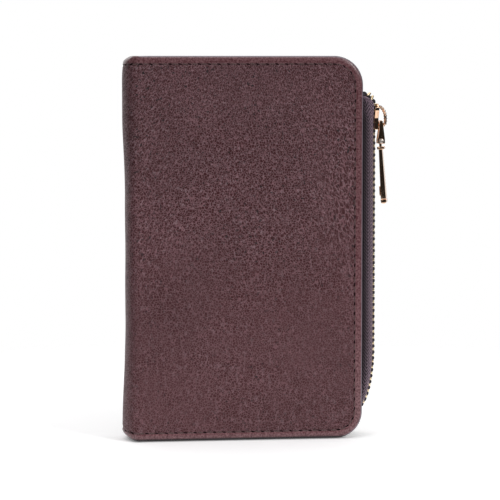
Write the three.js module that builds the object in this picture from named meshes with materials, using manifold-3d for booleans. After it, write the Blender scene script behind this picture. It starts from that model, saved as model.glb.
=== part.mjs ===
// A bifold leather wallet with a zipped coin pouch, closed and standing on its lower edge.
// Millimetres, +Z up. The front cover faces -Y, the folded spine is on the left (-X) and the zip
// is on the right (+X). While it is being built, x = 0 is the free edge of the covers, y = 0 the
// middle of the closed thickness and z = 0 the lower edge. The finished group is then moved
// sideways, so that the origin is the middle of the base of the whole part.
import * as THREE from "three";
import { mergeVertices } from "three/addons/utils/BufferGeometryUtils.js";
import Module from "manifold-3d";

const wasm = await Module();
wasm.setup();

// ---------------------------------------------------------------- driving dimensions

const COVER_WIDTH = 98.5;
const COVER_HEIGHT = 157.6;
const TOP_CORNER_RADIUS = 12;
const BOTTOM_CORNER_RADIUS = 10.9;
const CLOSED_THICKNESS = 22;
const LEATHER = 1.2;
const SPINE_BULGE = 6.2; // how far the fold stands out past the two fold lines
const FOLD_GAP = 0.3; // clearance in a fold between two rigid panels
const LAYER_GAP = 0.1; // air between two layers sewn together
const LEAF_GAP = 0.5; // air between the closed front leaf and the pouch

const SEAM_INSET = 3.3; // from the edge of a cover to the middle of its stitch line
const SEAM_GROOVE = 0.9;
const SEAM_GROOVE_DEPTH = 0.5;
const THREAD_WIDTH = 0.5;
const THREAD_HEIGHT = 0.35;

const BOARD = 0.6; // stiffening board inside a cover
const LINING = 0.5;
const POCKET_BASE = 0.7;
const POCKET_LEATHER = 0.6;
const CARD_POCKETS = 4;
const LOWEST_POCKET_TOP = 62;
const POCKET_STEP = 14.4;
const NOTE_POCKET_TOP = 127;
const NOTE_POCKET = 0.7;
const POUCH_LEATHER = 0.9;
const POUCH_LINING = 0.3;
const GUSSET = 0.5;
const GUSSET_FOLD_DEPTH = 9;

const TOOTH_PITCH = 2.5;
const TOOTH_THICKNESS = 2.4; // across the chain, along X
const TOOTH_HEIGHT = 1.0; // along the chain
const TOOTH_OUTER = 2.5; // from the middle of the chain to the clamped end of a tooth
const TOOTH_CLEAR = 0.3; // from a tip to the middle of the chain, so that the slider's post can pass
const CORD_WIDTH = 0.8;
const CORD_THICKNESS = 1.3;
const JAW = 0.12; // how far the jaws of a tooth stand out round the cord
const TAPE = 0.5;
const CHAIN_X = 6.1; // middle of the chain, outside the free edge of the covers
const TAPE_BEND_X = -1; // where a tape leaves its seam and starts to curve round
const TAPE_SEAM_X = -7; // inner edge of a tape, under its seam
const CHAIN_LOW_Z = 36; // the chain is straight between these two heights
const CHAIN_HIGH_Z = 137.4;
const CHAIN_LOW_BEND = { x: 7.7, z: 24.5, angle: 76 };
const CHAIN_HIGH_BEND = { x: 6.5, angle: 84, frontZ: 4.6, rearZ: 6.4 };
const ROWS_PART = { from: 130.5, to: 137.3, slider: 1.95, above: 0.7 };

const SLIDER_Z = 132.5;
const SLIDER_HALF = 5.4;
const SLIDER_PLATE = 0.8;
const SLIDER_SLOT = 0.5; // from the middle of the chain to the flange of the outer plate
const SLIDER_POST = 0.3; // the web that joins the two plates between the rows
const SLIDER_ROOM = 0.25; // clearance between the teeth and a plate
const BRIDGE_WIDTH = 2;
const BRIDGE_HEIGHT = 4.05;
const BRIDGE_BAR = 1.1;
const BRIDGE_FOOT = { low: -4.6, high: 4.7 }; // ends of the bridge, from the slider's centre
const BRIDGE_CORNER = 1.6; // its lower corner
const BRIDGE_CURVE = { x: 3.3, z: 5 }; // its long upper curve

const LINK_AXIS = { x: 3.65, z: -2.2 }; // from the slider's centre
const LINK_BAR_RADIUS = 0.6;
const LINK_LEG = 0.9;
const LINK_INNER_HALF = 1.25;
const PIN_DROP = 8; // from the link's axis down to the leaf's pin
const PIN_RADIUS = 0.6;
const LEAF_LENGTH = 26; // from the pin to the tip
const LEAF_TOP_WIDTH = 4.2;
const LEAF_TIP_WIDTH = 6.2;
const COLLAR_DROP = 2.6;

const ARC_SEGMENTS = 10;
const ROUND_SEGMENTS = 16;

// ---------------------------------------------------------------- worked out from them

const SPINE_X = SPINE_BULGE - COVER_WIDTH; // both fold lines lie at this x
const HALF_THICKNESS = CLOSED_THICKNESS / 2;
const EDGE_INSET = 0.9; // inner layers end this far inside the covers' edges
const LAYER_LEFT = SPINE_X + 1;
const CHAIN_OUT = TOOTH_THICKNESS / 2 + SLIDER_ROOM;

const MATERIALS = {
  leather: new THREE.MeshStandardMaterial({ color: 0x583d41, roughness: 0.55, metalness: 0 }),
  innerLeather: new THREE.MeshStandardMaterial({ color: 0x4c3337, roughness: 0.6, metalness: 0 }),
  lining: new THREE.MeshStandardMaterial({ color: 0x3b2c30, roughness: 0.9, metalness: 0 }),
  board: new THREE.MeshStandardMaterial({ color: 0x8a7a66, roughness: 0.95, metalness: 0 }),
  thread: new THREE.MeshStandardMaterial({ color: 0x2c2122, roughness: 0.8, metalness: 0 }),
  tape: new THREE.MeshStandardMaterial({ color: 0x4a3d47, roughness: 0.9, metalness: 0 }),
  metal: new THREE.MeshStandardMaterial({ color: 0xe6cfa0, roughness: 0.2, metalness: 1 }),
};

// ---------------------------------------------------------------- general helpers

function named(name, geometry, material) {
  const mesh = new THREE.Mesh(geometry, material);
  mesh.name = name;
  return mesh;
}

function grouped(...children) {
  const group = new THREE.Group();
  group.add(...children);
  return group;
}

function toSolid(geometry) {
  const loose = geometry.index ? geometry.toNonIndexed() : geometry;
  const bare = new THREE.BufferGeometry();
  bare.setAttribute("position", loose.getAttribute("position"));
  const merged = mergeVertices(bare, 1e-4);
  const triVerts = new Uint32Array(merged.index.array);
  const vertProperties = merged.attributes.position.array;
  return new wasm.Manifold(new wasm.Mesh({ numProp: 3, vertProperties, triVerts }));
}

function toGeometry(solid) {
  const { vertProperties, triVerts } = solid.getMesh();
  const geometry = new THREE.BufferGeometry();
  geometry.setAttribute("position", new THREE.BufferAttribute(new Float32Array(vertProperties), 3));
  geometry.setIndex(new THREE.BufferAttribute(new Uint32Array(triVerts), 1));
  geometry.computeVertexNormals();
  return geometry;
}

function joined(...geometries) {
  return toGeometry(geometries.map(toSolid).reduce((sum, solid) => sum.add(solid)));
}

function cut(geometry, ...tools) {
  return toGeometry(tools.map(toSolid).reduce((rest, tool) => rest.subtract(tool), toSolid(geometry)));
}

function common(first, second) {
  return toGeometry(toSolid(first).intersect(toSolid(second)));
}

function extrude(shape, depth) {
  const settings = { depth, bevelEnabled: false, curveSegments: ARC_SEGMENTS };
  return new THREE.ExtrudeGeometry(shape, settings);
}

// A shape drawn in (y, z), filled from x = low to x = high.
function extrudeX(shape, low, high) {
  const turn = new THREE.Matrix4().makeBasis(
    new THREE.Vector3(0, 1, 0),
    new THREE.Vector3(0, 0, 1),
    new THREE.Vector3(1, 0, 0),
  );
  return extrude(shape, high - low).applyMatrix4(turn).translate(low, 0, 0);
}

// A shape drawn in (x, z), filled from y = low to y = high.
function extrudeY(shape, low, high) {
  return extrude(shape, high - low).rotateX(Math.PI / 2).translate(0, high, 0);
}

// A shape drawn in (x, y), filled from z = low to z = high.
function extrudeZ(shape, low, high) {
  return extrude(shape, high - low).translate(0, 0, low);
}

function box(low, high) {
  const size = high.map((value, axis) => value - low[axis]);
  const centre = high.map((value, axis) => (value + low[axis]) / 2);
  return new THREE.BoxGeometry(...size).translate(...centre);
}

function cylinderY(radius, low, high) {
  const geometry = new THREE.CylinderGeometry(radius, radius, high - low, ROUND_SEGMENTS);
  return geometry.translate(0, (low + high) / 2, 0);
}

function polygon(points) {
  return new THREE.Shape(points.map(([a, b]) => new THREE.Vector2(a, b)));
}

function smoothstep(low, high, value) {
  const t = THREE.MathUtils.clamp((value - low) / (high - low), 0, 1);
  return t * t * (3 - 2 * t);
}

// ---------------------------------------------------------------- sewn panels

// The outline of a cover, or of a layer sewn into it: square at the spine and rounded at the free
// edge. A layer that stops short of the top has a square upper corner.
function leafShape(left, inset, top = COVER_HEIGHT - inset) {
  const right = -inset;
  const lowRadius = BOTTOM_CORNER_RADIUS - inset;
  const reachesTop = top > COVER_HEIGHT - TOP_CORNER_RADIUS;
  const shape = new THREE.Shape();
  shape.moveTo(left, inset);
  shape.lineTo(right - lowRadius, inset);
  shape.absarc(right - lowRadius, inset + lowRadius, lowRadius, -Math.PI / 2, 0, false);
  if (reachesTop) {
    const highRadius = TOP_CORNER_RADIUS - inset;
    shape.lineTo(right, top - highRadius);
    shape.absarc(right - highRadius, top - highRadius, highRadius, 0, Math.PI / 2, false);
  } else {
    shape.lineTo(right, top);
  }
  shape.lineTo(left, top);
  shape.closePath();
  return shape;
}

// A strip of a stitch line between two depths. It runs along the lower, free and upper edges of a
// cover, and is open at the spine.
function seamStrip(left, width, low, high) {
  const outline = extrudeY(leafShape(left, SEAM_INSET - width / 2), low, high);
  const inside = extrudeY(leafShape(left - 1, SEAM_INSET + width / 2), low - 1, high + 1);
  return cut(outline, inside);
}

// Layers stacked along +Y from a starting depth, with a little air between them.
function stack(start, layers) {
  let y = start;
  return layers.map(({ name, thickness, shape, material }) => {
    const mesh = named(name, extrudeY(shape, y, y + thickness), material);
    y += thickness + LAYER_GAP;
    return mesh;
  });
}

// A cover's outer leather with the groove of its stitch line, and the thread lying in the groove.
// side is -1 for the front cover and +1 for the rear cover.
function sewnCover(name, side) {
  const left = SPINE_X + FOLD_GAP / 2;
  const outer = side * HALF_THICKNESS;
  const inner = side * (HALF_THICKNESS - LEATHER);
  const floor = side * (HALF_THICKNESS - SEAM_GROOVE_DEPTH);
  const threadTop = side * (HALF_THICKNESS - SEAM_GROOVE_DEPTH + THREAD_HEIGHT);
  const span = (a, b) => [Math.min(a, b), Math.max(a, b)];
  const groove = seamStrip(left - 1, SEAM_GROOVE, ...span(floor, outer + side));
  const thread = seamStrip(left + 0.5, THREAD_WIDTH, ...span(floor + side * 0.02, threadTop));
  return [
    named(
      name + "_leather",
      cut(extrudeY(leafShape(left, 0), ...span(inner, outer)), groove),
      MATERIALS.leather,
    ),
    named(name + "_thread", thread, MATERIALS.thread),
  ];
}

// ---------------------------------------------------------------- front leaf

function frontLeaf() {
  const layers = [
    { name: "front_board", thickness: BOARD, shape: leafShape(LAYER_LEFT, 5), material: MATERIALS.board },
    {
      name: "front_lining",
      thickness: LINING,
      shape: leafShape(LAYER_LEFT, EDGE_INSET),
      material: MATERIALS.lining,
    },
    {
      name: "card_panel",
      thickness: POCKET_BASE,
      shape: leafShape(LAYER_LEFT, EDGE_INSET),
      material: MATERIALS.innerLeather,
    },
  ];
  for (let number = CARD_POCKETS; number >= 1; number--) {
    layers.push({
      name: "card_pocket_" + number,
      thickness: POCKET_LEATHER,
      shape: leafShape(LAYER_LEFT, EDGE_INSET, LOWEST_POCKET_TOP + (number - 1) * POCKET_STEP),
      material: MATERIALS.innerLeather,
    });
  }
  const start = -HALF_THICKNESS + LEATHER + LAYER_GAP;
  return grouped(...sewnCover("front_cover", -1), ...stack(start, layers));
}

// The inner face of the closed front leaf.
const FRONT_LEAF_BACK =
  -HALF_THICKNESS + LEATHER + BOARD + LINING + POCKET_BASE + CARD_POCKETS * POCKET_LEATHER
  + (3 + CARD_POCKETS) * LAYER_GAP;

// ---------------------------------------------------------------- spine

// Half an elliptical tube, with its open side towards +X.
function spineShell(depth, thickness) {
  const x = SPINE_X - FOLD_GAP / 2;
  const shape = new THREE.Shape();
  const bulge = SPINE_BULGE - FOLD_GAP / 2 - depth;
  const half = HALF_THICKNESS - depth;
  shape.absellipse(x, 0, bulge, half, Math.PI / 2, (3 * Math.PI) / 2, false, 0);
  shape.absellipse(x, 0, bulge - thickness, half - thickness, (3 * Math.PI) / 2, Math.PI / 2, true, 0);
  shape.closePath();
  return extrudeZ(shape, 0, COVER_HEIGHT);
}

// Side view of the spine: its corners are softly rounded where the fold crushes the edges.
function spineSideShape(margin) {
  const left = SPINE_X - SPINE_BULGE;
  const lowCorner = { x: 7, z: 3 };
  const highCorner = { x: 4, z: 1.4 };
  const low = margin;
  const high = COVER_HEIGHT - margin;
  const shape = new THREE.Shape();
  shape.moveTo(left, high - highCorner.z);
  shape.lineTo(left, low + lowCorner.z);
  shape.absellipse(
    left + lowCorner.x, low + lowCorner.z, lowCorner.x, lowCorner.z, Math.PI, 1.5 * Math.PI, false, 0,
  );
  shape.lineTo(SPINE_X + 1, low);
  shape.lineTo(SPINE_X + 1, high);
  shape.lineTo(left + highCorner.x, high);
  shape.absellipse(
    left + highCorner.x, high - highCorner.z, highCorner.x, highCorner.z, Math.PI / 2, Math.PI, false, 0,
  );
  shape.closePath();
  return shape;
}

function spine() {
  const shaped = (depth, thickness, margin) => common(
    spineShell(depth, thickness),
    extrudeY(spineSideShape(margin), -CLOSED_THICKNESS, CLOSED_THICKNESS),
  );
  return grouped(
    named("spine_leather", shaped(0, LEATHER, 0), MATERIALS.leather),
    named("spine_lining", shaped(LEATHER + LAYER_GAP, LINING, EDGE_INSET), MATERIALS.lining),
  );
}

// ---------------------------------------------------------------- rear half and pouch

const NOTE_POCKET_Y = FRONT_LEAF_BACK + LEAF_GAP;
const POUCH_PANEL_Y = NOTE_POCKET_Y + NOTE_POCKET + LAYER_GAP;
const CAVITY_FRONT = POUCH_PANEL_Y + POUCH_LEATHER + LAYER_GAP;
const CAVITY_REAR = HALF_THICKNESS - LEATHER - LAYER_GAP;
const CHAIN_Y = (CAVITY_FRONT + CAVITY_REAR) / 2;
const SEAM_HALF = (CAVITY_REAR - CAVITY_FRONT - TAPE) / 2; // from the chain to the middle of a tape seam

// A folded gusset: a V that points into the pouch, running along X. direction is +1 at the lower
// edge, where the fold points up, and -1 at the upper edge.
function gusset(name, edgeZ, direction) {
  const half = SEAM_HALF - 0.6;
  const fold = direction * GUSSET_FOLD_DEPTH;
  const wall = direction * GUSSET * 2;
  const corners = [
    [-half, 0], [0, fold], [half, 0], [half - GUSSET, 0], [0, fold - wall], [GUSSET - half, 0],
  ].map(([y, z]) => [CHAIN_Y + y, edgeZ + z]);
  const shape = polygon(direction > 0 ? corners.reverse() : corners);
  return named(name, extrudeX(shape, LAYER_LEFT + 3, TAPE_SEAM_X - 2), MATERIALS.lining);
}

function rearHalf() {
  const [panelLeft, wallLeft] = [LAYER_LEFT, LAYER_LEFT + 1];
  const liningShape = () => {
    const x = TAPE_SEAM_X - 1;
    return polygon([[LAYER_LEFT + 3, 3], [x, 3], [x, COVER_HEIGHT - 3], [LAYER_LEFT + 3, COVER_HEIGHT - 3]]);
  };
  const pouchFront = stack(NOTE_POCKET_Y, [
    {
      name: "note_pocket",
      thickness: NOTE_POCKET,
      shape: leafShape(panelLeft, EDGE_INSET + 0.6, NOTE_POCKET_TOP),
      material: MATERIALS.innerLeather,
    },
    {
      name: "pouch_front_panel",
      thickness: POUCH_LEATHER,
      shape: leafShape(panelLeft, EDGE_INSET + 0.6),
      material: MATERIALS.innerLeather,
    },
    { name: "pouch_lining_front", thickness: POUCH_LINING, shape: liningShape(), material: MATERIALS.lining },
  ]);
  const boardY = CAVITY_REAR - BOARD;
  const liningY = boardY - LAYER_GAP - POUCH_LINING;
  const wallFront = CAVITY_FRONT + 0.1;
  const wallRear = liningY - 0.2;
  const boardShape = polygon([
    [LAYER_LEFT + 1, 5], [TAPE_SEAM_X - 1, 5],
    [TAPE_SEAM_X - 1, COVER_HEIGHT - 5], [LAYER_LEFT + 1, COVER_HEIGHT - 5],
  ]);
  return [
    ...sewnCover("rear_cover", 1),
    named("rear_board", extrudeY(boardShape, boardY, CAVITY_REAR), MATERIALS.board),
    named("pouch_lining_rear", extrudeY(liningShape(), liningY, liningY + POUCH_LINING), MATERIALS.lining),
    ...pouchFront,
    named(
      "pouch_side_wall",
      box([wallLeft, wallFront, 2], [wallLeft + POUCH_LEATHER, wallRear, COVER_HEIGHT - 2]),
      MATERIALS.innerLeather,
    ),
    gusset("pouch_gusset_bottom", 2, 1),
    gusset("pouch_gusset_top", COVER_HEIGHT - 2, -1),
  ];
}

// ---------------------------------------------------------------- zip tapes and teeth

// The middle line of one row's cord, from its lower end up. side is -1 for the row on the front
// tape and +1 for the row on the rear tape. Below the slider both rows share one line; inside
// the slider they part, and above it they turn in behind the covers.
function rowPoints(side) {
  const points = [];
  const add = (x, z) => {
    const { from, to, slider, above } = ROWS_PART;
    const parting = slider * smoothstep(from, to, z) + above * smoothstep(to, to + 4, z);
    points.push(new THREE.Vector3(x, CHAIN_Y + side * (TOOTH_OUTER - JAW - CORD_WIDTH / 2 + parting), z));
  };
  const steps = 9;
  for (let i = 0; i < steps; i++) {
    const angle = THREE.MathUtils.degToRad(CHAIN_LOW_BEND.angle * (1 - i / steps));
    const inward = CHAIN_LOW_BEND.x * (1 - Math.cos(angle));
    add(CHAIN_X - inward, CHAIN_LOW_Z - CHAIN_LOW_BEND.z * Math.sin(angle));
  }
  const straights = 14;
  for (let i = 0; i <= straights; i++) {
    add(CHAIN_X, THREE.MathUtils.lerp(CHAIN_LOW_Z, CHAIN_HIGH_Z, i / straights));
  }
  const rise = side < 0 ? CHAIN_HIGH_BEND.frontZ : CHAIN_HIGH_BEND.rearZ;
  for (let i = 1; i <= steps; i++) {
    const angle = THREE.MathUtils.degToRad(CHAIN_HIGH_BEND.angle * (i / steps));
    const inward = CHAIN_HIGH_BEND.x * (1 - Math.cos(angle));
    add(CHAIN_X - inward, CHAIN_HIGH_Z + rise * Math.sin(angle));
  }
  return points;
}

// A sheet of even thickness over a grid of points, closed all round. The points run
// grid[row][column], and the sheet is thickened to both sides of them.
function thickSheet(grid, thickness) {
  const rows = grid.length;
  const columns = grid[0].length;
  const at = (i, j) => grid[THREE.MathUtils.clamp(i, 0, rows - 1)][THREE.MathUtils.clamp(j, 0, columns - 1)];
  const positions = [];
  for (const face of [1, -1]) {
    for (let i = 0; i < rows; i++) {
      for (let j = 0; j < columns; j++) {
        const along = at(i + 1, j).clone().sub(at(i - 1, j));
        const across = at(i, j + 1).clone().sub(at(i, j - 1));
        const normal = along.cross(across).normalize();
        positions.push(...at(i, j).clone().addScaledVector(normal, (face * thickness) / 2).toArray());
      }
    }
  }
  const index = [];
  const vertex = (face, i, j) => face * rows * columns + i * columns + j;
  const quad = (a, b, c, d) => index.push(a, b, c, a, c, d);
  for (let i = 0; i + 1 < rows; i++) {
    for (let j = 0; j + 1 < columns; j++) {
      quad(vertex(0, i, j), vertex(0, i + 1, j), vertex(0, i + 1, j + 1), vertex(0, i, j + 1));
      quad(vertex(1, i, j), vertex(1, i, j + 1), vertex(1, i + 1, j + 1), vertex(1, i + 1, j));
    }
    const last = columns - 1;
    quad(vertex(0, i, 0), vertex(1, i, 0), vertex(1, i + 1, 0), vertex(0, i + 1, 0));
    quad(vertex(0, i, last), vertex(0, i + 1, last), vertex(1, i + 1, last), vertex(1, i, last));
  }
  for (let j = 0; j + 1 < columns; j++) {
    const last = rows - 1;
    quad(vertex(0, 0, j), vertex(0, 0, j + 1), vertex(1, 0, j + 1), vertex(1, 0, j));
    quad(vertex(0, last, j), vertex(1, last, j), vertex(1, last, j + 1), vertex(0, last, j + 1));
  }
  const geometry = new THREE.BufferGeometry();
  geometry.setAttribute("position", new THREE.Float32BufferAttribute(positions, 3));
  geometry.setIndex(index);
  geometry.computeVertexNormals();
  return geometry;
}

// One woven tape: from beside its cord it curves round, like a quarter of an ellipse, to the flat
// part that is sewn to the pouch.
function tape(side) {
  const bendSteps = 6;
  const grid = rowPoints(side).map((cord) => {
    const start = Math.abs(cord.y - CHAIN_Y) + CORD_WIDTH / 2 + JAW + TAPE / 2 + 0.05;
    const bendX = Math.min(TAPE_BEND_X, cord.x - 1);
    const row = [];
    for (let i = 0; i <= bendSteps; i++) {
      const angle = (Math.PI / 2) * (i / bendSteps);
      const x = bendX + (cord.x - bendX) * Math.cos(angle);
      const out = start + (SEAM_HALF - start) * Math.sin(angle);
      row.push(new THREE.Vector3(x, CHAIN_Y + side * out, cord.z));
    }
    row.push(new THREE.Vector3(TAPE_SEAM_X, CHAIN_Y + side * SEAM_HALF, cord.z));
    return side > 0 ? row.reverse() : row;
  });
  return thickSheet(grid, TAPE);
}

// One tooth, lying along the local axes: x across the chain, y towards the other row, z along the
// chain. Its head has blunted corners.
function toothGeometry(side) {
  const half = TOOTH_HEIGHT / 2;
  const reach = TOOTH_OUTER - TOOTH_CLEAR;
  const outline = [
    [0, -half], [reach - 0.5, -half], [reach, -half * 0.5],
    [reach, half * 0.5], [reach - 0.5, half], [0, half],
  ].map(([y, z]) => [side * (CORD_WIDTH / 2 + JAW - y), z]);
  const shape = polygon(side > 0 ? outline.reverse() : outline);
  return extrudeX(shape, -TOOTH_THICKNESS / 2, TOOTH_THICKNESS / 2);
}

// A cord with its row of teeth clamped on. The rear row sits half a pitch above the front row.
function teethRow(side) {
  const line = new THREE.CatmullRomCurve3(rowPoints(side), false, "centripetal");
  line.arcLengthDivisions = 800;
  const length = line.getLength();
  const cordShape = polygon([
    [-CORD_THICKNESS / 2, -CORD_WIDTH / 2], [CORD_THICKNESS / 2, -CORD_WIDTH / 2],
    [CORD_THICKNESS / 2, CORD_WIDTH / 2], [-CORD_THICKNESS / 2, CORD_WIDTH / 2],
  ]);
  const cord = sweep(cordShape, line, 64);
  const teeth = [];
  for (let s = side < 0 ? 2 : 2 + TOOTH_PITCH / 2; s < length - 1; s += TOOTH_PITCH) {
    const turn = frameAt(line, s / length);
    teeth.push(toothGeometry(side).applyMatrix4(turn));
  }
  return joined(cord, ...teeth);
}

// The place and turn of a piece on the row: local z along the line, local y along Y.
function frameAt(line, share) {
  const along = line.getTangentAt(share).setY(0).normalize();
  const across = new THREE.Vector3(0, 1, 0);
  const out = new THREE.Vector3().crossVectors(across, along);
  return new THREE.Matrix4().makeBasis(out, across, along).setPosition(line.getPointAt(share));
}

// A shape drawn in (x, y), carried along a line without twisting and closed at both ends.
function sweep(shape, line, steps) {
  const outline = shape.getPoints();
  const rings = [];
  for (let i = 0; i <= steps; i++) {
    const turn = frameAt(line, i / steps);
    rings.push(outline.map((p) => new THREE.Vector3(p.x, p.y, 0).applyMatrix4(turn)));
  }
  const count = outline.length;
  const positions = rings.flat().flatMap((p) => p.toArray());
  const index = [];
  for (let i = 0; i < steps; i++) {
    for (let j = 0; j < count; j++) {
      const next = (j + 1) % count;
      const [a, b, c, d] = [i * count + j, i * count + next, (i + 1) * count + next, (i + 1) * count + j];
      index.push(a, b, c, a, c, d);
    }
  }
  for (let j = 1; j + 1 < count; j++) {
    index.push(0, j + 1, j);
    index.push(steps * count, steps * count + j, steps * count + j + 1);
  }
  const geometry = new THREE.BufferGeometry();
  geometry.setAttribute("position", new THREE.Float32BufferAttribute(positions, 3));
  geometry.setIndex(index);
  return geometry;
}

// A stop clamped over the upper end of one row's cord.
function topStop(name, side) {
  const points = rowPoints(side);
  const line = new THREE.CatmullRomCurve3(points, false, "centripetal");
  const depths = [side * -0.9, side * 0.35].sort((a, b) => a - b);
  const block = box([-1.3, depths[0], 0.25], [1.3, depths[1], 2.4]);
  return named(name, block.applyMatrix4(frameAt(line, 1)), MATERIALS.metal);
}

// The stop that holds the lower ends of both rows together.
function bottomStop() {
  const points = [-1, 1].map((side) => rowPoints(side));
  const middle = points[0].map((p, i) => p.clone().lerp(points[1][i], 0.5));
  const line = new THREE.CatmullRomCurve3(middle, false, "centripetal");
  const block = box([-1.4, -2.9, -2.8], [1.4, 2.9, -0.25]);
  return named("zip_bottom_stop", block.applyMatrix4(frameAt(line, 0)), MATERIALS.metal);
}

function zip() {
  return [
    named("zip_tape_front", tape(-1), MATERIALS.tape),
    named("zip_tape_rear", tape(1), MATERIALS.tape),
    named("zip_teeth_front", teethRow(-1), MATERIALS.metal),
    named("zip_teeth_rear", teethRow(1), MATERIALS.metal),
    topStop("zip_top_stop_front", -1),
    topStop("zip_top_stop_rear", 1),
    bottomStop(),
  ];
}

// ---------------------------------------------------------------- slider

// Half-widths of a slider plate at heights from its centre: narrow over the closed chain, wide
// where the two rows come in.
const PLATE_SIDE = [
  [3.6, -SLIDER_HALF], [3.6, -0.6], [5.3, 2.6], [5.3, 3.8], [4.4, 4.9], [3, SLIDER_HALF],
];

function plateShape(shrink) {
  const right = PLATE_SIDE.map(([y, z]) => [y - shrink, z]);
  const left = right.map(([y, z]) => [-y, z]).reverse();
  return polygon([...right, ...left]);
}

// The flange along one side of the outer plate, from the tail to where the rows come in.
function flangeShape(side) {
  const wall = 0.7;
  const edge = PLATE_SIDE.slice(0, 4);
  const points = [...edge, ...edge.map(([y, z]) => [y - wall, z]).reverse()];
  const turned = points.map(([y, z]) => [side * y, z]);
  return polygon(side > 0 ? turned : turned.reverse());
}

// Everything on the slider is placed from the middle of the chain at the slider's centre.
function sliderBody() {
  const outerFace = CHAIN_OUT + SLIDER_PLATE;
  const outerPlate = extrudeX(plateShape(0), CHAIN_OUT, outerFace);
  const innerPlate = extrudeX(plateShape(0.9), -outerFace, -CHAIN_OUT);
  const flanges = [-1, 1].map((side) => extrudeX(flangeShape(side), SLIDER_SLOT, CHAIN_OUT + 0.2));
  const half = SLIDER_POST / 2;
  const post = box([-CHAIN_OUT - 0.2, -half, 1], [CHAIN_OUT + 0.2, half, 4.9]);
  return joined(outerPlate, innerPlate, ...flanges, post);
}

// The bridge: an arch over the outer plate, with room under it for the link's bar.
function sliderBridge() {
  const foot = CHAIN_OUT + SLIDER_PLATE + 0.02;
  const top = foot + BRIDGE_HEIGHT;
  const { low, high } = BRIDGE_FOOT;
  const { x: reach, z: rise } = BRIDGE_CURVE;
  const shape = new THREE.Shape();
  shape.moveTo(foot, low);
  shape.lineTo(top - BRIDGE_CORNER, low);
  shape.absarc(top - BRIDGE_CORNER, low + BRIDGE_CORNER, BRIDGE_CORNER, -Math.PI / 2, 0, false);
  shape.lineTo(top, high - rise);
  shape.absellipse(top - reach, high - rise, reach, rise, 0, Math.PI / 2, false, 0);
  shape.lineTo(foot, high);
  shape.lineTo(foot, high - BRIDGE_BAR);
  const [innerReach, innerRise] = [reach - BRIDGE_BAR, rise - BRIDGE_BAR];
  shape.absellipse(top - reach, high - rise, innerReach, innerRise, Math.PI / 2, 0, true, 0);
  shape.lineTo(top - BRIDGE_BAR, low + BRIDGE_CORNER);
  shape.lineTo(top - BRIDGE_CORNER, low + BRIDGE_BAR);
  shape.lineTo(foot, low + BRIDGE_BAR);
  shape.closePath();
  return extrudeY(shape, -BRIDGE_WIDTH / 2, BRIDGE_WIDTH / 2);
}

// The link: two tapered legs beside the bridge, a bar through the bridge and a fork for the pin.
// Its own origin is the middle of the bar, which it swings about.
function pullLink() {
  const legShape = polygon([
    [-0.6, 0.35], [0.6, 0.35], [1.6, -PIN_DROP + 0.6], [1.6, -PIN_DROP - 1.1],
    [-1.4, -PIN_DROP - 1.1], [-1.4, -PIN_DROP + 0.6], [-0.75, -3],
  ].reverse());
  const outer = LINK_INNER_HALF + LINK_LEG;
  const legs = [
    extrudeY(legShape, LINK_INNER_HALF, outer),
    extrudeY(legShape, -outer, -LINK_INNER_HALF),
  ];
  const bar = cylinderY(LINK_BAR_RADIUS, -outer, outer);
  const hole = cylinderY(PIN_RADIUS + 0.1, -5, 5).translate(0, 0, -PIN_DROP);
  return cut(joined(...legs, bar), hole);
}

// The pin, with a low round head outside each leg. Its origin is its own middle.
function pullPin() {
  const outer = LINK_INNER_HALF + LINK_LEG;
  const shaft = cylinderY(PIN_RADIUS, -outer - 0.3, outer + 0.3);
  const heads = [-1, 1].map((side) => {
    const [a, b] = [side * (outer + 0.12), side * (outer + 0.5)];
    return cylinderY(PIN_RADIUS + 0.35, Math.min(a, b), Math.max(a, b));
  });
  return joined(shaft, ...heads);
}

// The leaf hangs from the pin: a knuckle between the legs, a narrow neck and a long blade that
// grows wider and thicker to a bevelled tip, with a low blank pad near the tip on its inner face.
function pullLeaf() {
  const knuckle = cylinderY(1.15, -1, 1);
  const neck = box([-0.55, -1, -COLLAR_DROP - 1.2], [0.55, 1, 0]);
  const top = -COLLAR_DROP - 0.6;
  const side = polygon([
    [0.65, top], [-0.65, top], [-0.75, -LEAF_LENGTH + 0.9], [-0.3, -LEAF_LENGTH],
    [0.9, -LEAF_LENGTH], [1.25, -LEAF_LENGTH + 0.9],
  ]);
  const face = polygon([
    [-LEAF_TOP_WIDTH / 2, top], [-LEAF_TIP_WIDTH / 2, -LEAF_LENGTH + 1.6],
    [-LEAF_TIP_WIDTH / 2 + 1.4, -LEAF_LENGTH], [LEAF_TIP_WIDTH / 2 - 1.4, -LEAF_LENGTH],
    [LEAF_TIP_WIDTH / 2, -LEAF_LENGTH + 1.6], [LEAF_TOP_WIDTH / 2, top],
  ]);
  const blade = common(extrudeY(side, -5, 5), extrudeX(face, -3, 3));
  const pad = box([-1.25, -1.6, -LEAF_LENGTH + 2.2], [0, 1.6, -LEAF_LENGTH + 6.6]);
  const hole = cylinderY(PIN_RADIUS + 0.1, -5, 5);
  return cut(joined(knuckle, neck, blade, pad), hole);
}

// A collar round the neck of the leaf, just above the blade.
function pullCollar() {
  const block = box([-1.45, -2.3, -COLLAR_DROP - 0.5], [1.45, 2.3, -COLLAR_DROP + 0.3]);
  const opening = box([-0.65, -1.1, -COLLAR_DROP - 2], [0.65, 1.1, 0]);
  return cut(block, opening);
}

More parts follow.
